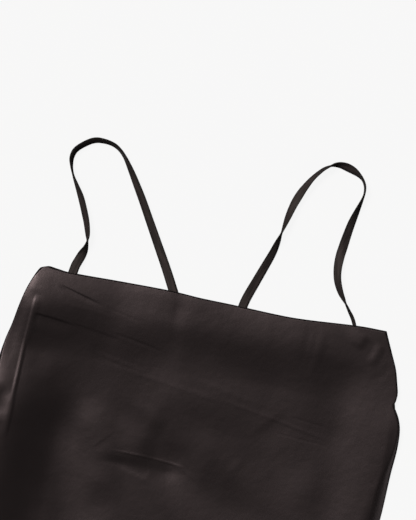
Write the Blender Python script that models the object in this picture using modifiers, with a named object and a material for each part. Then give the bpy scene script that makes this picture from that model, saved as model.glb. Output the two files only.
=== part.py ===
# Slip dress laid flat on its back: a front panel, a back panel and two narrow straps.
#
# X runs across the dress, +Y from the hem to the straps, +Z up from the surface it lies on.
# Tables hold millimetres: x, and "down", the distance below the straight front neckline.
# Everything else is in metres.
import math
from collections import namedtuple

import bmesh
import bpy

MM = 0.001

CLOTH = 1.0 * MM  # wall of each panel
SEAM_GAP = 0.3 * MM  # air between pieces that are sewn together
BODY_LENGTH = 1.0  # front neckline to hem, on the centre line
HEM_RISE = 16 * MM  # how much higher the hem ends at the side seams
HEM_EASE = 90 * MM  # length over which the laid body flattens towards the hem
HEM_LIFT = 0.45  # share of the body's rise that is left at the hem
NECKLINE_LIFT = 0.96  # share of the rise that the front neckline's own edge keeps
NECKLINE_EASE = 30 * MM  # length over which the front comes to its full height
BACK_DIP = 60 * MM  # how much lower the back neckline is, on the centre line
BACK_SCOOP = 2.4  # how squarely the back neckline curves up to the side seams
NECKLINE_Y = 0.4164  # where the neckline lies, so that the origin is under the box's centre

STRAP_WIDTH = 9.9 * MM
STRAP_THICKNESS = 2.2 * MM  # folded and turned satin, four layers at its seam
STRAP_LIFT = 0.08 * MM  # keeps a twisting strap's lower edge off the surface
STRAP_CLEARANCE = 0.6 * MM  # air between a strap's sewn front end and the panel over it
FRONT_ENDS_PAST = 100 * MM  # a strap's front end lies further out than this, its back end inside
STRAP_CLIMB = 14 * MM  # length over which a strap rises onto the back panel
STRAP_RIM_CLIMB = 34 * MM  # length over which its front end rises to the neckline's edge
STRAP_STEP = 4.5 * MM  # length of one piece of a strap's ribbon
RIGHT_PINCH = 0.42  # share of its width that the right strap keeps where its front end is sewn
PINCH_START = 12 * MM  # along the strap, where that pinch begins to open
PINCH_END = 48 * MM  # and where the strap has its full width
STRAP_ACROSS = 2  # pieces across a strap

FRONT_COLUMNS = 34
FRONT_ROWS = 56
BACK_COLUMNS = 14
BACK_ROWS = 44
EDGE_CROWDING = 0.55  # 0 spaces the columns evenly, nearly 1 crowds them to the side seams
TOP_CROWDING = 0.60  # 0 spaces the rows evenly, nearly 1 crowds them to the neckline

# The laid outline, its rise off the back panel and how wide each side rounds down.
Section = namedtuple("Section", "down left right rise left_roll right_roll")
SECTIONS = (
    Section(-3, -184.0, 184.0, 2.9, 3, 2),
    Section(1, -188.3, 185.0, 2.9, 3, 2),
    Section(10, -192.9, 188.8, 3.0, 1.5, 1.5),
    Section(24, -198.2, 195.0, 3.0, 1.2, 1.2),
    Section(40, -202.3, 202.0, 3.1, 1.2, 1.2),
    Section(56, -205.3, 206.4, 3.1, 1.2, 1.2),
    Section(65, -207.0, 208.4, 3.1, 1.2, 1.2),
    Section(73, -209.0, 207.8, 3.1, 1.2, 1.2),
    Section(78, -210.2, 206.6, 3.1, 1.2, 1.4),
    Section(83, -211.2, 209.6, 3.1, 1.4, 1.4),
    Section(92, -212.8, 214.4, 3.1, 2, 1.6),
    Section(104, -214.2, 217.6, 3.1, 3, 2),
    Section(123, -215.8, 218.3, 3.1, 5, 4),
    Section(150, -216.0, 216.2, 3.1, 9, 9),
    Section(193, -214.5, 214.2, 3.1, 13, 18),
    Section(260, -208.0, 209.0, 3.2, 15, 20),
    Section(340, -206.0, 206.5, 3.6, 15, 18),
    Section(415, -217.0, 217.5, 4.0, 15, 16),
    Section(500, -235.0, 235.5, 4.4, 15, 15),
    Section(600, -252.0, 252.0, 4.6, 15, 15),
    Section(760, -273.0, 273.0, 4.6, 15, 15),
    Section(1000, -299.0, 299.0, 4.4, 15, 15),
)

# The front neckline: how far each point lies below the straight line between its ends.
NeckPoint = namedtuple("NeckPoint", "x down")
NECKLINE = (
    NeckPoint(-192, 4.0),
    NeckPoint(-188, 0.3),
    NeckPoint(-182, -2.9),
    NeckPoint(-172, -1.9),
    NeckPoint(-158, -0.3),
    NeckPoint(-98, -0.4),
    NeckPoint(-45, 0.0),
    NeckPoint(-15, 1.9),
    NeckPoint(20, 2.9),
    NeckPoint(75, 5.0),
    NeckPoint(100, 4.5),
    NeckPoint(157, 1.2),
    NeckPoint(185, 1.5),
)

# Folds of the laid front, each along a line from its start to its end, bowed to its left by
# "bow". The widths are those of its slopes, seen walking along it. The fades are the shares of
# its length over which its start and its end die away. A height below 0 is a hollow.
Fold = namedtuple(
    "Fold", "x0 down0 x1 down1 bow left_width right_width height start_fade end_fade")
FOLDS = (
    # the roll along the neckline, and a shallow dent in it
    Fold(-230, 29, 240, 24, 0, 70, 60, 4.0, 0.08, 0.32),
    Fold(-92, -20, -80, 52, 0, 34, 40, -0.5, 0.3, 0.4),
    # the side that rolls up on the left, and the hollow beside it
    Fold(-192, -44, -190, 172, 0, 98, 90, 5.4, 0.38, 0.45),
    Fold(-198, 75, -214, 560, -4, 68, 60, 11.4, 0.186, 0.62),
    Fold(-142, 122, -96, 330, 0, 52, 38, -2.5, 0.26, 0.4),
    # the middle: a shelf, two low ridges beside it and the hollows below
    Fold(-82, 117, 90, 92, 0, 50, 44, 1.3, 0.45, 0.45),
    Fold(-114, 122, -80, 240, 0, 32, 26, 1.4, 0.3, 0.3),
    Fold(-38, 104, -56, 186, 0, 22, 46, 0.7, 0.35, 0.25),
    Fold(-44, 158, 104, 258, 0, 44, 40, -2.2, 0.24, 0.45),
    Fold(-84, 112, 10, 214, 0, 28, 28, -1.6, 0.4, 0.45),
    # the side that rolls up on the right, and the dip before it
    Fold(211, 20, 177, 300, 16, 20, 68, 3.0, 0.3, 0.35),
    Fold(150, 36, 140, 156, 0, 34, 34, -0.8, 0.35, 0.35),
    Fold(126, 150, 140, 260, 0, 30, 40, 0.9, 0.35, 0.4),
    Fold(188, 220, 204, 620, 0, 22, 70, 5.0, 0.3, 0.5),
    # skirt: long folds that open towards the hem
    Fold(-176, 330, -222, 1100, 0, 40, 46, 4.6, 0.5, 0.05),
    Fold(-78, 270, -108, 1100, 0, 40, 44, 4.2, 0.42, 0.05),
    Fold(6, 300, 12, 1100, 0, 44, 38, 5.0, 0.46, 0.05),
    Fold(80, 240, 120, 1100, 0, 42, 40, 4.0, 0.4, 0.05),
    Fold(166, 350, 230, 1100, 0, 42, 44, 5.0, 0.5, 0.05),
)

# Strap routes from the front neckline to the back one. "roll" is the ribbon's turn about its
# own line in degrees: 0 or 180 is flat on the surface and 90 stands on its edge.
StrapPoint = namedtuple("StrapPoint", "x down roll")
STRAP_LEFT = (
    StrapPoint(-156.0, 12.0, 0),
    StrapPoint(-153.6, 2.0, 0),
    StrapPoint(-151.6, -8.7, 3),
    StrapPoint(-149.3, -15.2, 6),
    StrapPoint(-146.9, -21.7, 20),
    StrapPoint(-144.7, -28.4, 54),
    StrapPoint(-143.9, -35.3, 84),
    StrapPoint(-144.6, -42.2, 115),
    StrapPoint(-148.3, -55.7, 129),
    StrapPoint(-153.4, -68.7, 132),
    StrapPoint(-159.1, -81.4, 129),
    StrapPoint(-166.0, -93.6, 111),
    StrapPoint(-169.6, -99.8, 100),
    StrapPoint(-172.6, -106.2, 89),
    StrapPoint(-174.8, -113.0, 78),
    StrapPoint(-175.9, -120.0, 66),
    StrapPoint(-174.4, -127.4, 60),
    StrapPoint(-170.0, -133.2, 58),
    StrapPoint(-159.6, -141.0, 56),
    StrapPoint(-152.8, -143.6, 57),
    StrapPoint(-145.6, -143.9, 62),
    StrapPoint(-138.6, -143.1, 66),
    StrapPoint(-131.8, -140.8, 69),
    StrapPoint(-126.0, -136.8, 72),
    StrapPoint(-121.0, -131.6, 71),
    StrapPoint(-116.8, -126.0, 64),
    StrapPoint(-109.2, -114.4, 51),
    StrapPoint(-101.9, -102.5, 42),
    StrapPoint(-94.7, -90.5, 36),
    StrapPoint(-84.4, -72.2, 31),
    StrapPoint(-70.7, -47.8, 23),
    StrapPoint(-57.0, -23.4, 14),
    StrapPoint(-46.8, -4.0, 4),
    StrapPoint(-40.0, 10.0, 0),
    StrapPoint(-32.0, 38.0, 0),
    StrapPoint(-27.0, 71.0, 0),
)
STRAP_RIGHT = (
    StrapPoint(153.6, 16.0, 10),
    StrapPoint(151.3, 3.0, 26),
    StrapPoint(149.3, -1.8, 36),
    StrapPoint(147.0, -6.3, 50),
    StrapPoint(142.9, -12.0, 68),
    StrapPoint(138.8, -17.8, 82),
    StrapPoint(134.6, -23.6, 106),
    StrapPoint(130.6, -29.4, 121),
    StrapPoint(127.3, -35.7, 131),
    StrapPoint(124.7, -42.3, 138),
    StrapPoint(123.1, -49.3, 144),
    StrapPoint(122.4, -56.4, 153),
    StrapPoint(122.4, -63.4, 163),
    StrapPoint(122.9, -70.4, 173),
    StrapPoint(123.9, -77.4, 184),
    StrapPoint(125.9, -91.3, 201),
    StrapPoint(128.4, -105.1, 215),
    StrapPoint(131.8, -118.8, 236),
    StrapPoint(135.3, -132.4, 260),
    StrapPoint(136.2, -138.9, 270),
    StrapPoint(135.4, -145.8, 275),
    StrapPoint(132.0, -152.1, 279),
    StrapPoint(126.7, -156.6, 296),
    StrapPoint(120.5, -160.0, 318),
    StrapPoint(113.9, -162.3, 327),
    StrapPoint(107.0, -163.4, 311),
    StrapPoint(100.3, -162.6, 292),
    StrapPoint(93.9, -159.5, 262),
    StrapPoint(88.3, -155.2, 252),
    StrapPoint(79.4, -144.5, 241),
    StrapPoint(72.3, -132.3, 224),
    StrapPoint(69.3, -125.9, 214),
    StrapPoint(66.7, -119.4, 211),
    StrapPoint(64.4, -112.8, 217),
    StrapPoint(60.9, -99.2, 232),
    StrapPoint(58.0, -85.5, 260),
    StrapPoint(55.0, -71.8, 302),
    StrapPoint(51.4, -58.3, 323),
    StrapPoint(46.7, -45.1, 334),
    StrapPoint(39.5, -25.4, 345),
    StrapPoint(32.6, -5.9, 357),
    StrapPoint(30.2, 6.0, 360),
    StrapPoint(29.0, 38.0, 360),
    StrapPoint(28.5, 71.0, 360),
)


def ease(value):
    """0 below 0, 1 above 1 and a smooth step between them."""
    value = min(max(value, 0.0), 1.0)
    return value * value * (3.0 - 2.0 * value)


def smooth_value(knots, values, at):
    """The value at one place on a smooth curve through a table's values, level past its ends."""
    if at <= knots[0]:
        return values[0]
    if at >= knots[-1]:
        return values[-1]
    low = max(index for index, knot in enumerate(knots[:-1]) if knot <= at)
    slopes = []
    for index in (low, low + 1):
        before = max(index - 1, 0)
        after = min(index + 1, len(knots) - 1)
        slopes.append((values[after] - values[before]) / (knots[after] - knots[before]))
    span = knots[low + 1] - knots[low]
    part = (at - knots[low]) / span
    start_weight = (1 + 2 * part) * (1 - part) ** 2
    end_weight = part * part * (3 - 2 * part)
    start_slope = part * (1 - part) ** 2 * span
    end_slope = part * part * (part - 1) * span
    return (values[low] * start_weight + values[low + 1] * end_weight
            + slopes[0] * start_slope + slopes[1] * end_slope)


SECTION_DOWNS = [section.down for section in SECTIONS]
SECTION_COLUMNS = {name: [getattr(section, name) for section in SECTIONS]
                   for name in Section._fields}


def section_at(down, name):
    """One column of the sections table at a distance below the neckline, both in metres."""
    return smooth_value(SECTION_DOWNS, SECTION_COLUMNS[name], down / MM) * MM


def front_neckline(x):
    """How far the front neckline lies below its straight line."""
    knots = [point.x for point in NECKLINE]
    return smooth_value(knots, [point.down for point in NECKLINE], x / MM) * MM


def back_neckline(x):
    """The back neckline: at the front one's height at the side seams, scooped between them."""
    side = section_at(0.0, "right" if x > 0 else "left")
    scoop = 1.0 - min(abs(x / side), 1.0) ** BACK_SCOOP
    return front_neckline(x) + BACK_DIP * scoop


def hem(x):
    """The hem's distance below the neckline, a little shorter at the side seams."""
    side = section_at(BODY_LENGTH, "right")
    return BODY_LENGTH - HEM_RISE * (x / side) ** 2


def fold_height(fold, x, down):
    """What one fold adds to the front's height at a place given in millimetres."""
    run_x = fold.x1 - fold.x0
    run_down = fold.down1 - fold.down0
    length = math.hypot(run_x, run_down)
    from_x = x - fold.x0
    from_down = down - fold.down0
    along = (from_x * run_x + from_down * run_down) / length ** 2
    if not 0.0 < along < 1.0:
        return 0.0
    across = (from_x * run_down - from_down * run_x) / length
    across -= fold.bow * 4 * along * (1 - along)
    width = fold.left_width if across > 0 else fold.right_width
    if abs(across) >= width:
        return 0.0
    ends = ease(along / fold.start_fade) * ease((1 - along) / fold.end_fade)
    return fold.height * ends * 0.5 * (1 + math.cos(math.pi * across / width))


def side_rise(distance, roll):
    """0 on a side seam and 1 past the width of its rounding, as a quarter of an ellipse."""
    part = min(max(distance / roll, 0.0), 1.0)
    return math.sqrt(1.0 - (1.0 - part) ** 2)


def front_inside(x, down):
    """Height of the front panel's inner face above the surface that the dress lies on."""
    seam = CLOTH + SEAM_GAP
    from_left = side_rise(x - section_at(down, "left"), section_at(down, "left_roll"))
    from_right = side_rise(section_at(down, "right") - x, section_at(down, "right_roll"))
    from_top = ease((down - front_neckline(x)) / NECKLINE_EASE)
    from_top = NECKLINE_LIFT + (1 - NECKLINE_LIFT) * from_top
    from_hem = HEM_LIFT + (1 - HEM_LIFT) * ease((hem(x) - down) / HEM_EASE)
    rise = section_at(down, "rise") * from_top * from_hem
    folds = sum(fold_height(fold, x / MM, down / MM) for fold in FOLDS) * MM
    return seam + max(rise + folds, 0.0) * from_left * from_right


def world(x, down, height):
    """A place on the laid dress as a point in the part's own frame."""
    return (x, NECKLINE_Y - down, height)


def laid_panel(name, columns, rows, top, height_at):
    """A panel between the side seams, from its neckline to the hem, as a walled grid."""
    mesh = bpy.data.meshes.new(name)
    grid = bmesh.new()
    bmesh.ops.create_grid(grid, x_segments=columns, y_segments=rows, size=1.0)
    for vert in grid.verts:
        across = vert.co.x
        crowded = math.sin(across * math.pi / 2)
        across += EDGE_CROWDING * (crowded - across)
        part = (1 - vert.co.y) / 2
        part += TOP_CROWDING * (part ** 3 - part)
        middle = (section_at(0.0, "right") + section_at(0.0, "left")) / 2
        half = (section_at(0.0, "right") - section_at(0.0, "left")) / 2
        start = top(middle + across * half)
        side_down = start + (BODY_LENGTH - start) * part
        left = section_at(side_down, "left")
        right = section_at(side_down, "right")
        x = (left + right) / 2 + across * (right - left) / 2
        down = start + (hem(x) - start) * part
        vert.co = world(x, down, height_at(x, down))
    grid.normal_update()
    grid.to_mesh(mesh)
    grid.free()
    return wall(name, mesh, CLOTH, 1.0)


def wall(name, mesh, thickness, offset):
    """An object that gives an open surface a wall; offset 1 puts it all above the surface."""
    piece = bpy.data.objects.new(name, mesh)
    solid = piece.modifiers.new("Wall", "SOLIDIFY")
    solid.thickness = thickness
    solid.offset = offset
    solid.use_even_offset = True
    mesh.shade_smooth()
    return piece


def smooth_route(route, length):
    """Points about one length apart on a smooth curve through a strap's table."""
    travelled = [0.0]
    for before, after in zip(route, route[1:]):
        step = math.hypot(after.x - before.x, after.down - before.down) * MM
        travelled.append(travelled[-1] + step)
    count = math.ceil(travelled[-1] / length)
    places = [travelled[-1] * index / count for index in range(count + 1)]
    columns = [[getattr(point, name) for point in route] for name in StrapPoint._fields]
    return [[smooth_value(travelled, column, place) for column in columns]
            for place in places]


def strap_height(x, down, roll, width):
    """Height of a strap's middle: on the surface, or beside the panel that it is sewn to."""
    lean = math.cos(roll) * width / 2
    reach = abs(math.sin(roll)) * width / 2 + abs(math.cos(roll)) * STRAP_THICKNESS / 2
    resting = reach + STRAP_LIFT
    if abs(x) > FRONT_ENDS_PAST:
        rim = front_neckline(x)
        over = min(front_inside(x + share * lean, max(down, rim)) for share in (-1, 0, 1))
        under = max(over - STRAP_CLEARANCE - reach, resting)
        return resting + (under - resting) * ease((down - rim) / STRAP_RIM_CLIMB + 1.0)
    over_back = ease((down - back_neckline(x)) / STRAP_CLIMB + 1.0)
    return resting + over_back * (CLOTH + SEAM_GAP)


def strap(name, route, pinch):
    """A twisting ribbon along its route, as a walled grid, pinched where its front end is sewn."""
    stations = smooth_route(route, STRAP_STEP)
    points = [(x * MM, down * MM, math.radians(roll)) for x, down, roll in stations]
    last = len(points) - 1
    mesh = bpy.data.meshes.new(name)
    grid = bmesh.new()
    bmesh.ops.create_grid(grid, x_segments=STRAP_ACROSS, y_segments=last, size=1.0)
    for vert in grid.verts:
        index = round((vert.co.y + 1) / 2 * last)
        x, down, roll = points[index]
        before = points[max(index - 1, 0)]
        after = points[min(index + 1, last)]
        run = math.hypot(after[0] - before[0], after[1] - before[1])
        side_x = (after[1] - before[1]) / run
        side_down = -(after[0] - before[0]) / run
        travelled = index * STRAP_STEP
        opened = ease((travelled - PINCH_START) / (PINCH_END - PINCH_START))
        width = STRAP_WIDTH * (pinch + (1 - pinch) * opened)
        reach = vert.co.x * width / 2
        flat = reach * math.cos(roll)
        height = strap_height(x, down, roll, width)
        vert.co = world(x + side_x * flat, down + side_down * flat,
                        height + reach * math.sin(roll))
    grid.normal_update()
    grid.to_mesh(mesh)
    grid.free()
    return wall(name, mesh, STRAP_THICKNESS, 0.0)


def satin(name, red, green, blue, roughness):
    """A plain cloth material, its colour given as linear red, green and blue."""
    material = bpy.data.materials.new(name)
    material.use_nodes = True
    shader = material.node_tree.nodes["Principled BSDF"]
    shader.inputs["Base Color"].default_value = (red, green, blue, 1.0)
    shader.inputs["Roughness"].default_value = roughness
    shader.inputs["Metallic"].default_value = 0.0
    material.diffuse_color = (red, green, blue, 1.0)
    return material


def build():
    """Clear the scene and make the dress."""
    for old in list(bpy.data.objects):
        bpy.data.objects.remove(old, do_unlink=True)
    dress = bpy.data.collections.new("slip_dress")
    bpy.context.scene.collection.children.link(dress)
    origin = bpy.data.objects.new("slip_dress_origin", None)
    dress.objects.link(origin)

    body_satin = satin("dark_brown_satin", 0.026, 0.020, 0.020, 0.42)
    strap_satin = satin("strap_satin", 0.020, 0.016, 0.015, 0.38)
    pieces = (
        (laid_panel("back_panel", BACK_COLUMNS, BACK_ROWS, back_neckline,
                    lambda x, down: 0.0), body_satin),
        (laid_panel("front_panel", FRONT_COLUMNS, FRONT_ROWS, front_neckline,
                    front_inside), body_satin),
        (strap("strap_left", STRAP_LEFT, 1.0), strap_satin),
        (strap("strap_right", STRAP_RIGHT, RIGHT_PINCH), strap_satin),
    )
    for piece, material in pieces:
        piece.data.materials.append(material)
        piece.parent = origin
        dress.objects.link(piece)


build()
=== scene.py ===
import math

import bmesh
import bpy
import numpy as np
from mathutils import Matrix, Vector, noise


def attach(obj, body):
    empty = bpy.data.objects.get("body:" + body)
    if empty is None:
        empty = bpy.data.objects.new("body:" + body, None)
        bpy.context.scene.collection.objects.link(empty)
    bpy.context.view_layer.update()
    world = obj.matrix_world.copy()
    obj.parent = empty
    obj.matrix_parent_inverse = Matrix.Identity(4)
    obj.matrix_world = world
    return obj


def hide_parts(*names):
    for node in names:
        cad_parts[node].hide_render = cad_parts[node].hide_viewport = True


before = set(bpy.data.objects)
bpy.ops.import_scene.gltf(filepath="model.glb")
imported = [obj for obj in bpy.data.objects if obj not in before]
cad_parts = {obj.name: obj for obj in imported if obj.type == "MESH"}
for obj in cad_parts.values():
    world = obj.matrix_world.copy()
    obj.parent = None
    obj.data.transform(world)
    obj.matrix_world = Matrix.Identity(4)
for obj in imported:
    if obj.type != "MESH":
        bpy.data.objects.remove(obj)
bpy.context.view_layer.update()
print("frame loaded:", ", ".join(sorted(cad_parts)))

mm = 0.001  # tables are in millimetres, everything else in metres


def ease(value):
    value = np.clip(value, 0.0, 1.0)
    return value * value * (3.0 - 2.0 * value)


def smoothValue(knots, values, at):  # smooth curve through a table, level past its ends
    knots = np.asarray(knots, float)
    values = np.asarray(values, float)
    slopes = np.empty_like(values)
    slopes[1:-1] = (values[2:] - values[:-2]) / (knots[2:] - knots[:-2])
    slopes[0] = (values[1] - values[0]) / (knots[1] - knots[0])
    slopes[-1] = (values[-1] - values[-2]) / (knots[-1] - knots[-2])
    at = np.clip(np.asarray(at, float), knots[0], knots[-1])
    low = np.clip(np.searchsorted(knots, at, side="right") - 1, 0, len(knots) - 2)
    span = knots[low + 1] - knots[low]
    part = (at - knots[low]) / span
    startWeight = (1 + 2 * part) * (1 - part) ** 2
    endWeight = part * part * (3 - 2 * part)
    startSlope = part * (1 - part) ** 2 * span
    endSlope = part * part * (part - 1) * span
    return (values[low] * startWeight + values[low + 1] * endWeight
            + slopes[low] * startSlope + slopes[low + 1] * endSlope)


# The laid body. x runs across it, "down" runs from the front neckline to the hem.
body = {
    "necklineY": 0.4164,  # where the straight line between the neckline's corners lies
    "length": 1.0,  # neckline to hem on the centre line
    "hemRise": 0.016,  # the hem is this much shorter at the side seams
    "hemLift": 0.45,  # share of the rise that the hem's own edge keeps
    "hemEase": 0.090,  # the rise grows to its full share over this length
    "necklineLift": 0.96,  # share of the rise that the neckline's own edge keeps
    "necklineEase": 0.030,
    "backDip": 0.060,  # the back's neckline is scooped this much lower
    "backScoop": 2.4,  # 2 is a parabola, more is a squarer scoop
    "solidWall": 0.001,  # wall of the solid that this cloth follows
    "seamGap": 0.0003,  # between the back and the front
}

# down, left edge, right edge, rise off the back panel, width of each side's rounding
sections = (
    (-3, -184.0, 184.0, 2.9, 3, 2),
    (1, -188.3, 185.0, 2.9, 3, 2),
    (10, -192.9, 188.8, 3.0, 1.5, 1.5),
    (24, -198.2, 195.0, 3.0, 1.2, 1.2),
    (40, -202.3, 202.0, 3.1, 1.2, 1.2),
    (56, -205.3, 206.4, 3.1, 1.2, 1.2),
    (65, -207.0, 208.4, 3.1, 1.2, 1.2),
    (73, -209.0, 207.8, 3.1, 1.2, 1.2),
    (78, -210.2, 206.6, 3.1, 1.2, 1.4),
    (83, -211.2, 209.6, 3.1, 1.4, 1.4),
    (92, -212.8, 214.4, 3.1, 2, 1.6),
    (104, -214.2, 217.6, 3.1, 3, 2),
    (123, -215.8, 218.3, 3.1, 5, 4),
    (150, -216.0, 216.2, 3.1, 9, 9),
    (193, -214.5, 214.2, 3.1, 13, 18),
    (260, -208.0, 209.0, 3.2, 15, 20),
    (340, -206.0, 206.5, 3.6, 15, 18),
    (415, -217.0, 217.5, 4.0, 15, 16),
    (500, -235.0, 235.5, 4.4, 15, 15),
    (600, -252.0, 252.0, 4.6, 15, 15),
    (760, -273.0, 273.0, 4.6, 15, 15),
    (1000, -299.0, 299.0, 4.4, 15, 15),
)
leftEdge, rightEdge, panelRise, leftRoll, rightRoll = range(1, 6)  # the columns after down

# x, then how far the front neckline sags below its straight line
neckline = (
    (-192, 4.0), (-188, 0.3), (-182, -2.9), (-172, -1.9), (-158, -0.3), (-98, -0.4), (-45, 0.0),
    (-15, 1.9), (20, 2.9), (75, 5.0), (100, 4.5), (157, 1.2), (185, 1.5),
)


def sectionAt(down, column):
    rows = np.array(sections)
    return smoothValue(rows[:, 0], rows[:, column], np.asarray(down) / mm) * mm


def frontNeckline(x):
    rows = np.array(neckline)
    return smoothValue(rows[:, 0], rows[:, 1], np.asarray(x) / mm) * mm


def backNeckline(x):
    side = np.where(np.asarray(x) > 0, sectionAt(0.0, rightEdge), sectionAt(0.0, leftEdge))
    scoop = 1.0 - np.minimum(np.abs(x / side), 1.0) ** body["backScoop"]
    return frontNeckline(x) + body["backDip"] * scoop


def hemLine(x):
    side = sectionAt(body["length"], rightEdge)
    return body["length"] - body["hemRise"] * (np.asarray(x) / side) ** 2


# Broad folds: start x and down, end x and down, bow, left and right width, height, fades.
# Left and right are those of someone walking along the fold from its start.
folds = (
    # the roll along the neckline, and a shallow dent in it
    (-230, 29, 240, 24, 0, 70, 60, 4.0, 0.08, 0.32),
    (-92, -20, -80, 52, 0, 34, 40, -0.5, 0.30, 0.40),
    # the side that rolls up on the left, and the hollow beside it
    (-192, -44, -190, 172, 0, 98, 90, 5.4, 0.38, 0.45),
    (-198, 75, -214, 560, -4, 68, 60, 11.4, 0.186, 0.62),
    (-142, 122, -96, 330, 0, 52, 38, -2.5, 0.26, 0.40),
    # the middle: a shelf, two low ridges beside it and the hollows below
    (-82, 117, 90, 92, 0, 50, 44, 1.3, 0.45, 0.45),
    (-114, 122, -80, 240, 0, 32, 26, 1.4, 0.30, 0.30),
    (-38, 104, -56, 186, 0, 22, 46, 0.7, 0.35, 0.25),
    (-44, 158, 104, 258, 0, 44, 40, -2.2, 0.24, 0.45),
    (-84, 112, 10, 214, 0, 28, 28, -1.6, 0.40, 0.45),
    # the side that rolls up on the right, and the dip before it
    (211, 20, 177, 300, 16, 20, 68, 3.0, 0.30, 0.35),
    (150, 36, 140, 156, 0, 34, 34, -0.8, 0.35, 0.35),
    (126, 150, 140, 260, 0, 30, 40, 0.9, 0.35, 0.40),
    (188, 220, 204, 620, 0, 22, 70, 5.0, 0.30, 0.50),
    # the skirt
    (-176, 330, -222, 1100, 0, 40, 46, 4.6, 0.50, 0.05),
    (-78, 270, -108, 1100, 0, 40, 44, 4.2, 0.42, 0.05),
    (6, 300, 12, 1100, 0, 44, 38, 5.0, 0.46, 0.05),
    (80, 240, 120, 1100, 0, 42, 40, 4.0, 0.40, 0.05),
    (166, 350, 230, 1100, 0, 42, 44, 5.0, 0.50, 0.05),
)


def foldPlace(fold, x, down):  # share along a fold, and mm across it to its left
    x0, down0, x1, down1, bow = fold[:5]
    runX = x1 - x0
    runDown = down1 - down0
    length = math.hypot(runX, runDown)
    along = ((x - x0) * runX + (down - down0) * runDown) / length ** 2
    across = ((x - x0) * runDown - (down - down0) * runX) / length
    return along, across - bow * 4 * along * (1 - along)


def foldHeight(fold, x, down):
    along, across = foldPlace(fold, x, down)
    leftWidth, rightWidth, height, startFade, endFade = fold[5:]
    width = np.where(across > 0, leftWidth, rightWidth)
    slope = 0.5 * (1 + np.cos(np.pi * np.clip(across / width, -1, 1)))
    return height * slope * ease(along / startFade) * ease((1 - along) / endFade)


def sideRise(distance, roll):
    part = np.clip(distance / roll, 0.0, 1.0)
    return np.sqrt(1.0 - (1.0 - part) ** 2)


def sideRounding(x, down):  # 1 inside the front panel, rounding down to 0 at its side edges
    left = sideRise(x - sectionAt(down, leftEdge), sectionAt(down, leftRoll))
    right = sideRise(sectionAt(down, rightEdge) - x, sectionAt(down, rightRoll))
    return left * right


def frontInside(x, down, extra=0.0):  # inner face of the front's solid, and any extra mm
    fromTop = ease((down - frontNeckline(x)) / body["necklineEase"])
    fromTop = body["necklineLift"] + (1 - body["necklineLift"]) * fromTop
    fromHem = ease((hemLine(x) - down) / body["hemEase"])
    fromHem = body["hemLift"] + (1 - body["hemLift"]) * fromHem
    rise = sectionAt(down, panelRise) * fromTop * fromHem
    broad = sum(foldHeight(fold, x / mm, down / mm) for fold in folds)
    seam = body["solidWall"] + body["seamGap"]
    return seam + np.maximum(rise + (broad + extra) * mm, 0.0) * sideRounding(x, down)


def spreadPlan(panel, topLine):  # the flat cloth as a grid of plan places
    columns = panel["columnCounts"][-1]
    rows = panel["rowCounts"][-1]
    cloth = bmesh.new()
    bmesh.ops.create_grid(cloth, x_segments=columns, y_segments=rows, size=1.0)
    flat = np.array([vert.co for vert in cloth.verts])
    column = (flat[:, 0] + 1) / 2 * columns
    row = (1 - flat[:, 1]) / 2 * rows
    across = np.interp(column, panel["columnCounts"], panel["columnShares"]) * 2 - 1
    part = np.interp(row, panel["rowCounts"], panel["rowDowns"]) / body["length"]
    left, right = sectionAt(0.0, leftEdge), sectionAt(0.0, rightEdge)
    start = topLine((left + right) / 2 + across * (right - left) / 2)
    sideDown = start + (body["length"] - start) * part
    left, right = sectionAt(sideDown, leftEdge), sectionAt(sideDown, rightEdge)
    x = (left + right) / 2 + across * (right - left) / 2
    down = start + (hemLine(x) - start) * part
    for vert, placeX, placeDown in zip(cloth.verts, x, down):
        vert.co = (placeX, -placeDown, 0.0)
    return cloth


def ripplesAt(x, down, panel):  # slight waviness, in mm
    total = np.zeros(len(x))
    for size, tall in panel["ripples"]:
        points = [Vector((a / size, b / size, panel["rippleSeed"])) for a, b in zip(x, down)]
        total += [tall * noise.noise(point) for point in points]
    return total


def raiseCloth(cloth, surface):  # lifts the flat cloth to its height and sets it at its place
    plan = np.array([vert.co for vert in cloth.verts])
    x, down = plan[:, 0], -plan[:, 1]
    for vert, placeX, placeDown, z in zip(cloth.verts, x, down, surface(x, down)):
        vert.co = (placeX, body["necklineY"] - placeDown, z)


def addPiece(name, form):
    mesh = bpy.data.meshes.new(name)
    form.to_mesh(mesh)
    form.free()
    piece = bpy.data.objects.new(name, mesh)
    bpy.context.scene.collection.objects.link(piece)
    return piece


def finishSheet(name, cloth, wall):  # lays a UV map in metres, then gives the cloth its wall
    cloth.normal_update()
    layer = cloth.loops.layers.uv.new("cloth")
    for face in cloth.faces:
        face.smooth = True
        for loop in face.loops:
            loop[layer].uv = (loop.vert.co.x, loop.vert.co.y)
    piece = addPiece(name, cloth)
    solid = piece.modifiers.new("wall", "SOLIDIFY")
    solid.thickness = wall
    solid.offset = 1.0
    return piece


# The turned hem, in metres up from its edge: the cloth is double below its stitched line.
hem = {
    "depth": 0.020,
    "double": 0.00035,  # what the second layer adds
    "stepWidth": 0.0014,  # over which it begins
    "groove": 0.00025,  # how far the stitched line is pulled in
    "grooveWidth": 0.0022,
    "pitch": 0.0078,  # one blind stitch to the next
    "stitchLength": 0.0030,
    "stitchWidth": 0.0008,
    "stitchSides": 6,
    "stitchRings": 4,
    "stitchesStop": 0.012,  # short of the side seams
    "sideWander": (0.0006, 2.4),  # how uneven the row is, and radians from stitch to stitch
    "downWander": (0.0003, 1.7),
    "probe": 0.001,  # the cloth's slope is measured this far on either side of a stitch
}


def hemRelief(x, down, sunk):  # the hem's double layer and the line where it is sewn
    up = hemLine(x) - down
    layer = hem["double"] * ease((hem["depth"] - up) / hem["stepWidth"] + 0.5)
    line = np.clip((up - hem["depth"]) / hem["grooveWidth"], -1, 1)
    return layer - sunk * hem["groove"] * 0.5 * (1 + np.cos(np.pi * line))


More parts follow.
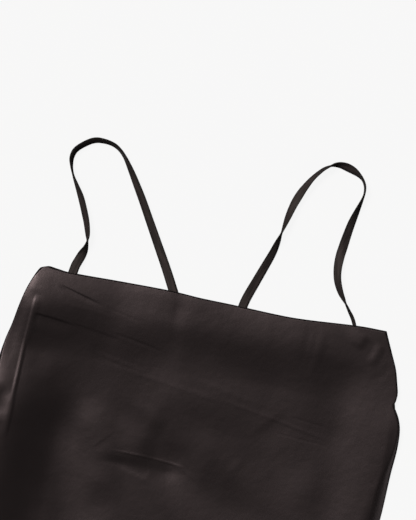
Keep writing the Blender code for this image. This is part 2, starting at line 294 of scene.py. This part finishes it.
# Finer creases, in the same columns. The cloth's grid is made finer along the narrow ones.
creases = (
    # left side: a sharp pressed ridge, its lower half, and the flanks beside it
    (-186.2, 27, -191, 90, 0, 9.0, 2.2, 0.50, 0.16, 0.25),
    (-189.8, 74, -192.6, 150, 0, 3.4, 3.0, 0.50, 0.21, 0.35),
    (-186, 0, -190, 34, 0, 20.0, 9.0, 0.56, 0.45, 0.40),
    (-188, 26, -195, 116, 0, 22.0, 12.0, 0.90, 0.20, 0.50),
    (-214, 58, -212, 160, 0, 26.0, 10.0, 1.3, 0.30, 0.30),
    (-191.6, 132, -193.4, 188, 1, 3.0, 8.0, 0.42, 0.25, 0.40),
    (-157, 84, -161, 126, 0, 15.0, 15.0, 0.34, 0.40, 0.40),
    (-203, 124, -204, 168, 0, 11.0, 11.0, -1.0, 0.38, 0.38),
    # pressed lines under the neckline on the left
    (-187, 49.5, -139, 55.5, 1, 2.4, 14.0, -0.38, 0.12, 0.40),
    (-148, 52, -82, 62, 0, 2.4, 7.0, -0.10, 0.25, 0.35),
    (-104, 54, -40, 66, 1, 2.2, 4.0, -0.09, 0.30, 0.35),
    (-160, 34, -92, 40, 2, 3.0, 5.0, 0.06, 0.35, 0.40),
    (-166, 13.8, -112, 29, 0, 1.7, 6.0, -0.42, 0.20, 0.45),
    (-112, 29, -70, 38, 0, 2.4, 3.0, -0.05, 0.35, 0.40),
    (-128, 76, -48, 92, 1, 3.4, 4.4, 0.06, 0.40, 0.40),
    # wide soft slopes on the neckline's roll and below it
    (-172, 8, -176, 92, 0, 60.0, 20.0, 0.60, 0.30, 0.40),
    (-172, 76, -40, 92, 0, 80.0, 56.0, 1.2, 0.45, 0.45),
    (-62, 72, 30, 76, 0, 28.0, 26.0, 0.60, 0.40, 0.40),
    (70, 76, 205, 82, 0, 34.0, 60.0, 0.80, 0.30, 0.30),
    (-110, -1, 20, 0, 0, 6.0, 22.0, 0.50, 0.30, 0.30),
    # above the hidden strap
    (-37, -2, -35, 40, 0, 20.0, 10.0, -0.30, 0.10, 0.45),
    (-27, 0, -20, 96, 0, 30.0, 16.0, 0.50, 0.50, 0.40),
    # middle: an eye-shaped dent, its lid, its lower edges and the fold that runs up from it
    (-106, 181, 5, 183, 4.4, 42.0, 13.0, 0.80, 0.32, 0.28),
    (-88, 177, 4, 182.5, 2.2, 1.8, 2.6, 0.17, 0.35, 0.25),
    (-84, 186, -35, 197.5, 0, 9.0, 6.0, -0.26, 0.35, 0.14),
    (-41, 198, 4, 187, 0, 8.0, 14.0, -0.08, 0.16, 0.45),
    (-61, 171, -36, 126, 0, 60.0, 17.0, 0.66, 0.30, 0.30),
    # wide soft slopes round the dent, and two fine lines at its ends
    (-108, 96, -92, 190, 0, 40.0, 30.0, 0.45, 0.55, 0.35),
    (-34, 92, -18, 206, 0, 60.0, 56.0, -0.42, 0.35, 0.35),
    (-100, 180, -76, 156, 0, 2.8, 9.0, -0.09, 0.35, 0.40),
    (-30, 176, 20, 196, 3, 3.0, 4.0, 0.05, 0.30, 0.40),
    (-111, 84, -108, 215, 0, 46.0, 22.0, 0.70, 0.45, 0.50),
    (-20, 180, 36, 182, 0, 44.0, 34.0, 0.50, 0.35, 0.35),
    # right of the middle: long slanting press lines and a small pleat
    (-120, 88, 30, 108, 2, 5.0, 4.0, 0.07, 0.35, 0.20),
    (20, 104, 152, 128, 1, 4.0, 3.0, 0.07, 0.20, 0.20),
    (-20, 84, 96, 104, -2, 4.0, 5.0, 0.05, 0.35, 0.35),
    (97, 108, 146, 114, 0, 2.2, 2.6, -0.06, 0.20, 0.40),
    (84, 128, 152, 133, 0, 2.2, 2.6, -0.05, 0.20, 0.40),
    (100, 106, 66, 142, 0, 26.0, 10.0, -0.28, 0.30, 0.35),
    # the swelling along the right side, a low ridge, and short marks on the neckline's roll
    (203, 70, 190, 290, 6, 12.0, 60.0, 0.95, 0.30, 0.35),
    (62, 150, 40, 196, 2, 7.0, 8.0, 0.10, 0.40, 0.40),
    (120, 4, 112, 70, 1, 9.0, 6.0, 0.16, 0.30, 0.40),
    (104, 6, 103, 60, 0, 6.0, 6.0, -0.10, 0.30, 0.40),
    (60, 8, 66, 52, 0, 8.0, 8.0, 0.08, 0.30, 0.45),
    # waist and skirt: slanting drag lines and the soft marks of having lain folded
    (-170, 262, -120, 330, 3, 8.0, 10.0, 0.30, 0.35, 0.40),
    (-60, 276, -84, 352, 2, 7.0, 9.0, 0.24, 0.30, 0.45),
    (40, 258, 92, 330, -4, 9.0, 8.0, -0.26, 0.40, 0.35),
    (168, 290, 120, 362, 4, 8.0, 10.0, 0.28, 0.35, 0.40),
    (-196, 402, 6, 420, 5, 5.0, 6.0, 0.16, 0.20, 0.35),
    (24, 410, 204, 398, -3, 4.0, 6.0, -0.14, 0.30, 0.25),
    (-140, 452, -168, 610, 4, 10.0, 8.0, 0.34, 0.35, 0.40),
    (-34, 470, -52, 690, -5, 9.0, 12.0, 0.36, 0.30, 0.45),
    (62, 440, 84, 600, 3, 10.0, 8.0, -0.30, 0.30, 0.40),
    (128, 520, 176, 742, -6, 9.0, 11.0, 0.38, 0.35, 0.35),
    (-232, 640, -60, 668, 4, 5.0, 5.0, 0.18, 0.25, 0.40),
    (-20, 672, 150, 655, -4, 4.0, 6.0, -0.16, 0.35, 0.30),
    (-190, 720, -214, 930, 5, 11.0, 9.0, 0.40, 0.35, 0.40),
    (-96, 742, -60, 900, -4, 9.0, 10.0, 0.30, 0.40, 0.35),
    (30, 760, 44, 960, 3, 8.0, 11.0, 0.34, 0.35, 0.30),
    (196, 780, 236, 968, -4, 10.0, 9.0, 0.36, 0.30, 0.35),
    (-262, 880, -120, 905, 3, 5.0, 6.0, -0.18, 0.30, 0.35),
    (90, 890, 262, 872, -3, 5.0, 5.0, 0.16, 0.25, 0.35),
    # puckers under the right corner
    (164, 6, 155, 26, 0, 10.0, 22.0, 0.55, 0.30, 0.40),
    (183, 14, 172, 43, 1, 8.0, 7.5, 0.36, 0.25, 0.40),
    (200, 34, 176, 62, 0, 6.0, 7.0, -0.10, 0.30, 0.40),
)

frontPanel = {
    "wall": 0.0005,
    "lift": 0.00005,  # above the inside of its solid
    "seamDrop": 0.0006,  # the sides come down to meet the back panel
    "columnCounts": (0, 8, 18, 124, 134, 138),  # columns of cloth from the left side,
    "columnShares": (0.0, 0.004, 0.03, 0.97, 0.996, 1.0),  # and how much width they cover
    "rowCounts": (0, 4, 10, 90, 152, 166, 174, 178),  # rows of cloth from the neckline,
    "rowDowns": (0.0, 0.0016, 0.006, 0.270, 0.975, 0.986, 0.998, 1.0),  # and the metres down
    "curl": 0.0012,  # the neckline's turned edge curls down over this length
    "curlDrop": 0.0018,
    "fineBelow": 12.0,  # mm; a crease with a slope narrower than this gets finer cloth
    "sharpBelow": 4.0,  # and with one narrower than this, twice finer cloth
    "fineWidth": 6.0,  # the finer cloth covers this much of a slope,
    "fineReach": 2.0,  # this much past it,
    "fineEnds": 0.02,  # and this share of a crease's length past its ends
    "ripples": ((0.045, 0.22), (0.022, 0.05), (0.014, 0.035)),  # metres across and mm high
    "rippleSeed": 3.7,
}


def refineAlong(cloth, below, reach):  # cuts the faces that lie on narrow creases finer
    cloth.faces.ensure_lookup_table()
    middles = np.array([face.calc_center_median() for face in cloth.faces]) / mm
    near = np.zeros(len(middles), bool)
    for crease in creases:
        widths = crease[5:7]
        if min(widths) >= below:
            continue
        along, across = foldPlace(crease, middles[:, 0], -middles[:, 1])
        left, right = [min(width, frontPanel["fineWidth"]) + reach for width in widths]
        inside = (across < left) & (across > -right)
        ends = frontPanel["fineEnds"]
        near |= inside & (along > -ends) & (along < 1 + ends)
    edges = {edge for face, chosen in zip(cloth.faces, near) if chosen for edge in face.edges}
    bmesh.ops.subdivide_edges(cloth, edges=list(edges), cuts=1, use_grid_fill=True)
    many = [face for face in cloth.faces if len(face.verts) > 4]
    bmesh.ops.triangulate(cloth, faces=many)


def frontSurface(x, down):  # height of the front panel's inner face
    fine = sum(foldHeight(crease, x / mm, down / mm) for crease in creases)
    height = frontInside(x, down, fine + ripplesAt(x, down, frontPanel))
    inward = sideRounding(x, down)
    height += frontPanel["lift"] - frontPanel["seamDrop"] * (1 - inward) ** 2
    curled = np.clip(1 - (down - frontNeckline(x)) / frontPanel["curl"], 0.0, 1.0)
    height -= frontPanel["curlDrop"] * curled * inward
    return height + hemRelief(x, down, 1.0) * inward


def makeFront():
    cloth = spreadPlan(frontPanel, frontNeckline)
    refineAlong(cloth, frontPanel["fineBelow"], frontPanel["fineReach"])
    refineAlong(cloth, frontPanel["sharpBelow"], frontPanel["fineReach"] / 2)
    raiseCloth(cloth, frontSurface)
    return finishSheet("front_satin", cloth, frontPanel["wall"])


def wander(count, size, turn):  # the slight unevenness of a hand-sewn row
    return size * np.sin(np.arange(count) * turn)


def makeStitches():  # short blind stitches along the front's hem
    sewnDown = body["length"] - hem["depth"]
    half = sectionAt(sewnDown, rightEdge) - hem["stitchesStop"]
    count = int(2 * half / hem["pitch"])
    x = np.linspace(-half, half, count) + wander(count, *hem["sideWander"])
    down = hemLine(x) - hem["depth"] + wander(count, *hem["downWander"])
    probe = hem["probe"]
    before = frontSurface(x - probe, down)
    after = frontSurface(x + probe, down)
    sewn = bmesh.new()
    for index in range(count):
        lean = math.atan2(after[index] - before[index], 2 * probe)
        run = math.atan2(hemLine(x[index] - probe) - hemLine(x[index] + probe), 2 * probe)
        height = (before[index] + after[index]) / 2 + frontPanel["wall"]
        place = Matrix.Translation((x[index], body["necklineY"] - down[index], height))
        turn = Matrix.Rotation(run, 4, "Z") @ Matrix.Rotation(-lean, 4, "Y")
        sizes = Matrix.Diagonal((hem["stitchLength"] / 2, hem["stitchWidth"] / 2,
                                 hem["stitchWidth"] / 2, 1.0))
        bmesh.ops.create_uvsphere(sewn, u_segments=hem["stitchSides"],
                                  v_segments=hem["stitchRings"], radius=1.0,
                                  matrix=place @ turn @ sizes)
    for face in sewn.faces:
        face.smooth = True
    return addPiece("hem_stitches", sewn)


backPanel = {
    "wall": 0.0005,
    "lift": 0.0001,
    "columnCounts": (0, 80),
    "columnShares": (0.0, 1.0),
    "rowCounts": (0, 120, 134, 138),
    "rowDowns": (0.0, 0.975, 0.986, 1.0),
    "ripples": ((0.060, 0.35), (0.018, 0.06)),
    "rippleSeed": 8.2,
    "edgeEase": 0.020,  # its creases die away over this width at the panel's edges
    "tallest": 0.5,  # mm, the most that one stands up
}

# Creases pressed into the back, all of them up off the surface, in the folds' columns.
backCreases = (
    (-150, 84, -60, 120, 3, 9.0, 12.0, 0.40, 0.30, 0.40),
    (30, 96, 140, 74, -2, 8.0, 10.0, 0.34, 0.35, 0.35),
    (-40, 190, 96, 214, 4, 7.0, 9.0, 0.36, 0.30, 0.40),
    (-188, 240, -110, 330, 4, 12.0, 10.0, 0.50, 0.35, 0.40),
    (190, 262, 118, 344, -3, 10.0, 12.0, 0.46, 0.30, 0.40),
    (-206, 402, 30, 416, 4, 5.0, 7.0, 0.28, 0.25, 0.35),
    (-84, 440, -120, 720, 6, 14.0, 12.0, 0.60, 0.35, 0.40),
    (66, 430, 104, 700, -5, 12.0, 15.0, 0.56, 0.30, 0.45),
    (-240, 662, 70, 676, 5, 6.0, 6.0, 0.26, 0.25, 0.30),
    (172, 560, 226, 905, 4, 13.0, 14.0, 0.58, 0.35, 0.35),
    (-214, 700, -250, 950, -4, 12.0, 10.0, 0.48, 0.30, 0.35),
    (-14, 760, 4, 968, 3, 12.0, 14.0, 0.54, 0.35, 0.30),
)


def backSurface(x, down):  # height of the back panel's underside
    raised = sum(foldHeight(crease, x / mm, down / mm) for crease in backCreases)
    raised += ripplesAt(x, down, backPanel)
    fromSide = np.minimum(x - sectionAt(down, leftEdge), sectionAt(down, rightEdge) - x)
    inside = ease(np.minimum(fromSide, down - backNeckline(x)) / backPanel["edgeEase"])
    height = np.clip(raised, 0.0, backPanel["tallest"]) * mm * inside
    height -= hemRelief(x, down, -1.0)  # the double hem holds a crease down
    return backPanel["lift"] + np.clip(height, 0.0, None)


def makeBack():
    cloth = spreadPlan(backPanel, backNeckline)
    raiseCloth(cloth, backSurface)
    return finishSheet("back_satin", cloth, backPanel["wall"])


# x, down, roll: 0 or 180 lies flat and 90 stands on its edge
strapRoutes = {
    "strap_left": (
        (-156.0, 12.0, 0), (-153.6, 2.0, 0), (-151.6, -8.7, 3), (-149.3, -15.2, 6),
        (-146.9, -21.7, 20), (-144.7, -28.4, 54), (-143.9, -35.3, 84), (-144.6, -42.2, 115),
        (-148.3, -55.7, 129), (-153.4, -68.7, 132), (-159.1, -81.4, 129), (-166.0, -93.6, 111),
        (-169.6, -99.8, 100), (-172.6, -106.2, 89), (-174.8, -113.0, 78), (-175.9, -120.0, 66),
        (-174.4, -127.4, 60), (-170.0, -133.2, 58), (-159.6, -141.0, 56), (-152.8, -143.6, 57),
        (-145.6, -143.9, 62), (-138.6, -143.1, 66), (-131.8, -140.8, 69), (-126.0, -136.8, 72),
        (-121.0, -131.6, 71), (-116.8, -126.0, 64), (-109.2, -114.4, 51), (-101.9, -102.5, 42),
        (-94.7, -90.5, 36), (-84.4, -72.2, 31), (-70.7, -47.8, 23), (-57.0, -23.4, 14),
        (-46.8, -4.0, 4), (-40.0, 10.0, 0), (-32.0, 38.0, 0), (-27.0, 71.0, 0),
    ),
    "strap_right": (
        (153.6, 16.0, 10), (151.3, 3.0, 26), (149.3, -1.8, 36), (147.0, -6.3, 50),
        (142.9, -12.0, 68), (138.8, -17.8, 82), (134.6, -23.6, 106), (130.6, -29.4, 121),
        (127.3, -35.7, 131), (124.7, -42.3, 138), (123.1, -49.3, 144), (122.4, -56.4, 153),
        (122.4, -63.4, 163), (122.9, -70.4, 173), (123.9, -77.4, 184), (125.9, -91.3, 201),
        (128.4, -105.1, 215), (131.8, -118.8, 236), (135.3, -132.4, 260), (136.2, -138.9, 270),
        (135.4, -145.8, 275), (132.0, -152.1, 279), (126.7, -156.6, 296), (120.5, -160.0, 318),
        (113.9, -162.3, 327), (107.0, -163.4, 311), (100.3, -162.6, 292), (93.9, -159.5, 262),
        (88.3, -155.2, 252), (79.4, -144.5, 241), (72.3, -132.3, 224), (69.3, -125.9, 214),
        (66.7, -119.4, 211), (64.4, -112.8, 217), (60.9, -99.2, 232), (58.0, -85.5, 260),
        (55.0, -71.8, 302), (51.4, -58.3, 323), (46.7, -45.1, 334), (39.5, -25.4, 345),
        (32.6, -5.9, 357), (30.2, 6.0, 360), (29.0, 38.0, 360), (28.5, 71.0, 360),
    ),
}

strap = {
    "width": 0.0099,
    "thickness": 0.0022,
    "pinch": {"strap_left": 1.0, "strap_right": 0.42},  # share of the width left at the seam
    "pinchStart": 0.012,  # from the outer end to where the pinched width starts to grow
    "pinchEnd": 0.048,  # and to where it is whole again
    "lift": 0.00008,  # off the surface
    "clearance": 0.0006,  # below the front panel
    "outerPast": 0.100,  # further out than this a strap is sewn under the front
    "climb": 0.014,  # over this length an inner end rises on to the back panel
    "rimClimb": 0.034,  # over this length an outer end rises to the neckline's edge
    "step": 0.0016,  # from one ring of points along it to the next
    "around": 20,  # points in a ring
    "squareness": 2.4,  # 2 is an ellipse, more is a flatter ribbon
    "weld": 0.00001,  # points nearer than this are one
}


def strapHeight(x, down, roll, width):  # height of the strap's middle line
    lean = np.cos(roll) * width / 2
    reach = np.abs(np.sin(roll)) * width / 2 + np.abs(np.cos(roll)) * strap["thickness"] / 2
    resting = reach + strap["lift"]
    rim = frontNeckline(x)
    under = np.maximum(down, rim)
    over = np.minimum.reduce([frontInside(x + share * lean, under) for share in (-1, 0, 1)])
    sewnUnder = np.maximum(over - strap["clearance"] - reach, resting)
    sewnUnder = resting + (sewnUnder - resting) * ease((down - rim) / strap["rimClimb"] + 1.0)
    overBack = ease((down - backNeckline(x)) / strap["climb"] + 1.0)
    sewnOver = resting + overBack * (body["solidWall"] + body["seamGap"])
    return np.where(np.abs(x) > strap["outerPast"], sewnUnder, sewnOver)


def makeStrap(node):
    route = np.array(strapRoutes[node], float)
    steps = np.hypot(np.diff(route[:, 0]), np.diff(route[:, 1])) * mm
    travelled = np.concatenate([[0.0], np.cumsum(steps)])
    last = math.ceil(travelled[-1] / strap["step"])
    places = np.linspace(0.0, travelled[-1], last + 1)
    x, down, roll = [smoothValue(travelled, route[:, column], places) for column in range(3)]
    x, down, roll = x * mm, down * mm, np.radians(roll)
    runX, runDown = np.gradient(x), np.gradient(down)
    run = np.hypot(runX, runDown)
    sideX, sideDown = runDown / run, -runX / run
    pinch = strap["pinch"][node]
    spreading = ease((places - strap["pinchStart"]) / (strap["pinchEnd"] - strap["pinchStart"]))
    width = strap["width"] * (pinch + (1 - pinch) * spreading)
    height = strapHeight(x, down, roll, width)

    tube = bmesh.new()
    bmesh.ops.create_grid(tube, x_segments=strap["around"], y_segments=last, size=1.0)
    layer = tube.loops.layers.uv.new("cloth")
    for face in tube.faces:
        face.smooth = True
        for loop in face.loops:
            across = math.cos(loop.vert.co.x * math.pi) * strap["width"] / 2
            loop[layer].uv = (across, (loop.vert.co.y + 1) / 2 * travelled[-1])
    power = 2 / strap["squareness"]
    for vert in tube.verts:
        index = round((vert.co.y + 1) / 2 * last)
        angle = vert.co.x * math.pi
        wide = math.copysign(abs(math.cos(angle)) ** power, math.cos(angle))
        thick = math.copysign(abs(math.sin(angle)) ** power, math.sin(angle))
        reach = wide * width[index] / 2
        proud = thick * strap["thickness"] / 2
        flat = reach * math.cos(roll[index]) - proud * math.sin(roll[index])
        up = reach * math.sin(roll[index]) + proud * math.cos(roll[index])
        placeX = x[index] + sideX[index] * flat
        placeDown = down[index] + sideDown[index] * flat
        vert.co = (placeX, body["necklineY"] - placeDown, height[index] + up)
    bmesh.ops.remove_doubles(tube, verts=tube.verts[:], dist=strap["weld"])
    ends = [edge for edge in tube.edges if edge.is_boundary]
    bmesh.ops.holes_fill(tube, edges=ends)
    bmesh.ops.recalc_face_normals(tube, faces=tube.faces[:])
    return addPiece(node + "_satin", tube), float(travelled[-1])


def hexColour(text):  # sRGB hex to linear
    channels = [int(text[at:at + 2], 16) / 255 for at in (1, 3, 5)]
    linear = [c / 12.92 if c <= 0.04045 else ((c + 0.055) / 1.055) ** 2.4 for c in channels]
    return (*linear, 1.0)


def addNode(tree, kind, settings=None, links=None):  # a socket goes by its name or number
    node = tree.nodes.new(kind)
    for name, value in (settings or {}).items():
        if isinstance(name, int) or name in node.inputs:
            node.inputs[name].default_value = value
        else:
            setattr(node, name, value)
    for name, source in (links or {}).items():
        tree.links.new(source, node.inputs[name])
    return node


def newMaterial(name):
    material = bpy.data.materials.new(name)
    material.use_nodes = True
    material.node_tree.nodes.clear()
    return material, material.node_tree


sheenRoughness = 0.4
clothIor = 1.5
threadRelief = 0.0001  # metres
floatLength = 6  # a satin's warp thread lies on top for this many times its width

# A colour mix has several sockets of one name, so its own go by number.
mixShare, mixFirst, mixSecond, mixed = 0, 6, 7, 2


def warpThreads(tree, where, size):  # fine lines along the warp, size mm apart
    toThreads = 1 / (size * mm)
    warp = addNode(tree, "ShaderNodeMapping",
                   {"Scale": (toThreads, toThreads / floatLength, 1.0)},
                   {"Vector": where.outputs["UV"]})
    return addNode(tree, "ShaderNodeTexNoise", {"Scale": 1.0, "Detail": 1.0},
                   {"Vector": warp.outputs["Vector"]})


strapLook = {
    "colour": "#312b2a",
    # painted shade: the deeper colour of the rumples' hollows
    "deepColour": "#1f1c1b",
    # painted shade and wear: the colour of the strap's rolled edges, darker than its middle
    "edgeShadeAndWearColour": "#191816",
    "tint": "#fff4f0",
    "specular": 0.13,
    "roughness": 0.66,
    "sheen": 0.05,
    "threadSize": 0.5,  # mm, drawn coarser than the real 0.1 mm so that it shows
    "threadBump": 0.15,
    "rumple": (0.0032, 0.026),  # metres from one slight rumple to the next, across and along
    "rumpleHeight": 0.0012,
    "rumpleBump": 0.8,
    "rumpleShadeRange": (0.35, 0.65),  # of the noise, from the deep colour, painted shade in the rumples' hollows, to the other
    "edgeShadeRange": (0.24, 0.46),  # of the width from the middle, where the painted shade and wear of the rolled edges sets in
}


def strapMaterial(name, look):
    # satin folded and turned to a narrow strap, slightly rumpled: its rolled edges are coloured
    # dark, painted shade with some wear, and the rumples' hollows get a deeper colour, painted
    # shade
    material, tree = newMaterial(name)
    where = addNode(tree, "ShaderNodeUVMap", {"uv_map": "cloth"})
    parts = addNode(tree, "ShaderNodeSeparateXYZ", None, {"Vector": where.outputs["UV"]})
    across = addNode(tree, "ShaderNodeMath", {"operation": "ABSOLUTE"}, {0: parts.outputs["X"]})
    # painted shade and wear: a mask that rises from the strap's middle to its rolled edges
    edge = addNode(tree, "ShaderNodeMapRange", {
        "interpolation_type": "SMOOTHSTEP",
        "From Min": strap["width"] * look["edgeShadeRange"][0],
        "From Max": strap["width"] * look["edgeShadeRange"][1],
    }, {"Value": across.outputs["Value"]})
    stretch = addNode(tree, "ShaderNodeMapping", {
        "Scale": (1 / look["rumple"][0], 1 / look["rumple"][1], 1.0),
    }, {"Vector": where.outputs["UV"]})
    rumples = addNode(tree, "ShaderNodeTexNoise", {"Scale": 1.0, "Detail": 2.0},
                      {"Vector": stretch.outputs["Vector"]})
    uneven = addNode(tree, "ShaderNodeMapRange", {
        "From Min": look["rumpleShadeRange"][0],
        "From Max": look["rumpleShadeRange"][1],
    }, {"Value": rumples.outputs["Fac"]})
    # painted shade: where the rumples' bump is low the colour goes deep
    colour = addNode(tree, "ShaderNodeMix", {
        "data_type": "RGBA",
        mixFirst: hexColour(look["deepColour"]),
        mixSecond: hexColour(look["colour"]),
    }, {mixShare: uneven.outputs["Result"]})
    # the rolled edges take the painted shade and wear colour
    edgeShaded = addNode(tree, "ShaderNodeMix", {
        "data_type": "RGBA",
        mixSecond: hexColour(look["edgeShadeAndWearColour"]),
    }, {mixShare: edge.outputs["Result"], mixFirst: colour.outputs[mixed]})
    threads = warpThreads(tree, where, look["threadSize"])
    fine = addNode(tree, "ShaderNodeBump",
                   {"Strength": look["threadBump"], "Distance": threadRelief},
                   {"Height": threads.outputs["Fac"]})
    bump = addNode(tree, "ShaderNodeBump",
                   {"Strength": look["rumpleBump"], "Distance": look["rumpleHeight"]},
                   {"Height": rumples.outputs["Fac"], "Normal": fine.outputs["Normal"]})
    shader = addNode(tree, "ShaderNodeBsdfPrincipled", {
        "Roughness": look["roughness"],
        "Specular IOR Level": look["specular"],
        "Specular Tint": hexColour(look["tint"]),
        "Sheen Weight": look["sheen"],
        "Sheen Roughness": sheenRoughness,
        "IOR": clothIor,
    }, {
        "Base Color": edgeShaded.outputs[mixed],
        "Normal": bump.outputs["Normal"],
    })
    addNode(tree, "ShaderNodeOutputMaterial", None, {"Surface": shader.outputs["BSDF"]})
    return material


satinLook = {
    "colour": "#090707",
    "deepColour": "#050404",
    "tint": "#ffe7e8",
    "specular": 0.57,
    "roughness": 0.42,
    "anisotropy": 0.2,
    "sheen": 0.03,
    "threadSize": 0.7,  # mm; real threads are 0.1 mm, drawn coarser so that they show
    "threadBump": 0.4,
    "slackSize": 9.0,  # mm, the cloth's own unevenness between its creases
    "slackHeight": 0.0002,
    "slackBump": 0.7,
    "clouds": 14.0,  # to a metre, places where the satin is slightly duller and browner
    "cloudRange": (0.3, 0.7),  # of the noise, from the glossiest to the dullest
    "cloudRoughness": 0.02,
}


def satinMaterial(name, look):
    # charmeuse satin, warp threads floating over the weft: a soft wide gloss
    material, tree = newMaterial(name)
    where = addNode(tree, "ShaderNodeUVMap", {"uv_map": "cloth"})
    clouds = addNode(tree, "ShaderNodeTexNoise", {"Scale": look["clouds"], "Detail": 2.0},
                     {"Vector": where.outputs["UV"]})
    colour = addNode(tree, "ShaderNodeMix", {
        "data_type": "RGBA",
        mixFirst: hexColour(look["deepColour"]),
        mixSecond: hexColour(look["colour"]),
    }, {mixShare: clouds.outputs["Fac"]})
    polish = addNode(tree, "ShaderNodeMapRange", {
        "From Min": look["cloudRange"][0],
        "From Max": look["cloudRange"][1],
        "To Min": look["roughness"] - look["cloudRoughness"],
        "To Max": look["roughness"] + look["cloudRoughness"],
    }, {"Value": clouds.outputs["Fac"]})
    slack = addNode(tree, "ShaderNodeTexNoise",
                    {"Scale": 1 / (look["slackSize"] * mm), "Detail": 3.0},
                    {"Vector": where.outputs["UV"]})
    uneven = addNode(tree, "ShaderNodeBump",
                     {"Strength": look["slackBump"], "Distance": look["slackHeight"]},
                     {"Height": slack.outputs["Fac"]})
    threads = warpThreads(tree, where, look["threadSize"])
    bump = addNode(tree, "ShaderNodeBump",
                   {"Strength": look["threadBump"], "Distance": threadRelief},
                   {"Height": threads.outputs["Fac"], "Normal": uneven.outputs["Normal"]})
    tangent = addNode(tree, "ShaderNodeTangent", {"direction_type": "UV_MAP", "uv_map": "cloth"})
    shader = addNode(tree, "ShaderNodeBsdfPrincipled", {
        "Anisotropic": look["anisotropy"],
        "Specular IOR Level": look["specular"],
        "Specular Tint": hexColour(look["tint"]),
        "Sheen Weight": look["sheen"],
        "Sheen Roughness": sheenRoughness,
        "IOR": clothIor,
    }, {
        "Base Color": colour.outputs[mixed],
        "Roughness": polish.outputs["Result"],
        "Normal": bump.outputs["Normal"],
        "Tangent": tangent.outputs["Tangent"],
    })
    addNode(tree, "ShaderNodeOutputMaterial", None, {"Surface": shader.outputs["BSDF"]})
    return material


threadLook = {
    "colour": "#2a2322",
    "tint": "#ffe8e4",
    "specular": 0.35,
    "roughness": 0.5,
    "twist": 0.7,  # mm from one turn of the ply to the next
    "twistUneven": 0.4,
    "twistBump": 0.5,
}


def threadMaterial(name, look):
    # spun polyester sewing thread, matt with a faint twist
    material, tree = newMaterial(name)
    where = addNode(tree, "ShaderNodeTexCoord")
    twist = addNode(tree, "ShaderNodeTexWave", {
        "Scale": 1 / (look["twist"] * mm),
        "Distortion": look["twistUneven"],
        "bands_direction": "DIAGONAL",
    }, {"Vector": where.outputs["Object"]})
    bump = addNode(tree, "ShaderNodeBump",
                   {"Strength": look["twistBump"], "Distance": threadRelief},
                   {"Height": twist.outputs["Fac"]})
    shader = addNode(tree, "ShaderNodeBsdfPrincipled", {
        "Base Color": hexColour(look["colour"]),
        "Roughness": look["roughness"],
        "Specular IOR Level": look["specular"],
        "Specular Tint": hexColour(look["tint"]),
    }, {"Normal": bump.outputs["Normal"]})
    addNode(tree, "ShaderNodeOutputMaterial", None, {"Surface": shader.outputs["BSDF"]})
    return material


stage = {
    "floorSize": 40.0,  # so wide that a low view shows nothing past it
    "floorGlow": 0.90,
    "floorColour": "#303030",
    "cameraX": -0.01455,
    "cameraY": 0.4559,
    "cameraTurn": 10.246,  # degrees
    "viewHeight": 0.5519,  # metres of floor from the frame's top to its bottom
    "lens": 240.0,  # mm, long enough that the dress is seen without perspective
    "sensor": 36.0,
    "worldLight": 0.025,
}

# name, where it shines from, strength, width of the source in degrees, warmth
lights = (
    ("highLeftKey", (-0.50, 0.42, 0.80), 4.3, 24.0, "#fffaf8"),
    ("lowRightFill", (0.85, -0.25, 0.20), 0.4, 40.0, "#ffffff"),
)


def makeFloor():
    form = bmesh.new()
    bmesh.ops.create_grid(form, x_segments=1, y_segments=1, size=stage["floorSize"] / 2)
    ground = addPiece("floor", form)
    # matt white card that glows a little, so that it stays even
    material, tree = newMaterial("paleFloor")
    matt = addNode(tree, "ShaderNodeBsdfDiffuse", {"Color": hexColour(stage["floorColour"])})
    glow = addNode(tree, "ShaderNodeEmission", {"Strength": stage["floorGlow"]})
    both = addNode(tree, "ShaderNodeAddShader", None,
                   {0: matt.outputs["BSDF"], 1: glow.outputs["Emission"]})
    addNode(tree, "ShaderNodeOutputMaterial", None, {"Surface": both.outputs["Shader"]})
    ground.data.materials.append(material)
    ground.visible_glossy = False
    ground.visible_diffuse = False


def makeLights():
    for name, place, strength, spread, warmth in lights:
        lamp = bpy.data.lights.new(name, "SUN")
        lamp.energy = strength
        lamp.angle = math.radians(spread)
        lamp.color = hexColour(warmth)[:3]
        holder = bpy.data.objects.new(name, lamp)
        holder.location = place
        holder.rotation_euler = Vector(place).to_track_quat("Z", "Y").to_euler()
        bpy.context.scene.collection.objects.link(holder)

    world = bpy.data.worlds.new("studio")
    world.use_nodes = True
    background = world.node_tree.nodes["Background"]
    background.inputs["Color"].default_value = (1.0, 1.0, 1.0, 1.0)
    background.inputs["Strength"].default_value = stage["worldLight"]
    bpy.context.scene.world = world


def makeCamera():  # straight above, with the dress turned in the frame
    lens = bpy.data.cameras.new("camera")
    lens.sensor_fit = "VERTICAL"
    lens.sensor_height = stage["sensor"]
    lens.lens = stage["lens"]
    camera = bpy.data.objects.new("camera", lens)
    distance = stage["viewHeight"] * stage["lens"] / stage["sensor"]
    camera.location = (stage["cameraX"], stage["cameraY"], distance)
    camera.rotation_euler = (0.0, 0.0, math.radians(stage["cameraTurn"]))
    bpy.context.scene.collection.objects.link(camera)
    bpy.context.scene.camera = camera


bodySatin = satinMaterial("charmeuseSatin", satinLook)
strapSatin = strapMaterial("turnedSatinStrap", strapLook)
front = makeFront()
front.data.materials.append(bodySatin)
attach(front, "root")
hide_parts("front_panel")
stitches = makeStitches()
stitches.data.materials.append(threadMaterial("hemThread", threadLook))
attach(stitches, "root")
print("front panel laid:", len(front.data.polygons), "faces")

back = makeBack()
back.data.materials.append(bodySatin)
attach(back, "root")
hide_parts("back_panel")
print("back panel laid:", len(back.data.polygons), "faces")

areaSteps = 400
downs = np.linspace(0.0, body["length"], areaSteps)
widths = sectionAt(downs, rightEdge) - sectionAt(downs, leftEdge)

for node in sorted(strapRoutes):
    piece, length = makeStrap(node)
    piece.data.materials.append(strapSatin)
    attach(piece, "root")
    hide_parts(node)
    print(node, "laid:", round(length, 3), "m long")

makeFloor()
makeLights()
makeCamera()
bpy.context.scene.view_settings.view_transform = "Standard"
print("stage ready")
